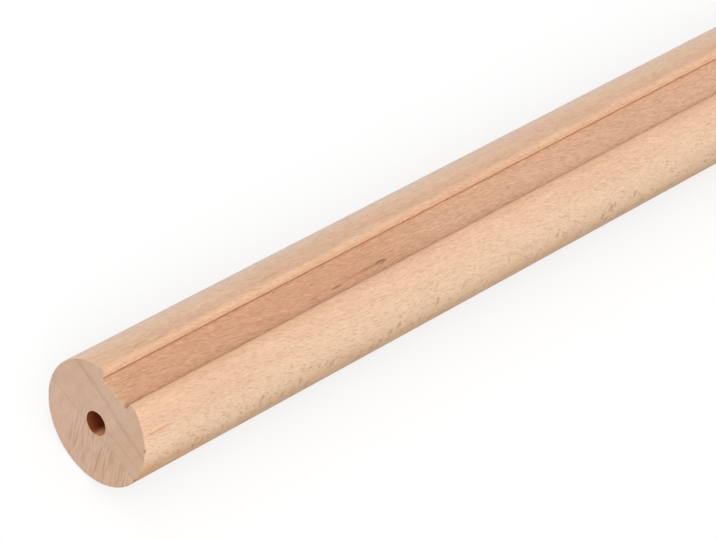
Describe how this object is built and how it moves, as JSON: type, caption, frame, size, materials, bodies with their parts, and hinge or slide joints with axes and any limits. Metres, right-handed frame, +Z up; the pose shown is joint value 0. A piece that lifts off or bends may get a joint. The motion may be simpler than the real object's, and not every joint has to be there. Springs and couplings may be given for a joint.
{
  "type": "stair handrail length",
  "caption": "Length of round wooden stair handrail, square-cut, with a shallow flat groove along it for brackets and a blind bore in each end.",
  "frame": {"origin": "below the middle of the rail, on the floor that it lies on", "axes": "+X along the rail, +Z up, out of the bracket groove, +Y across the groove"},
  "size_m": [1.5, 0.042, 0.0405],
  "materials": {
    "beech": "sanded, bare beech"
  },
  "bodies": {
    "root": {"handrail": "beech"}
  },
  "joints": []
}
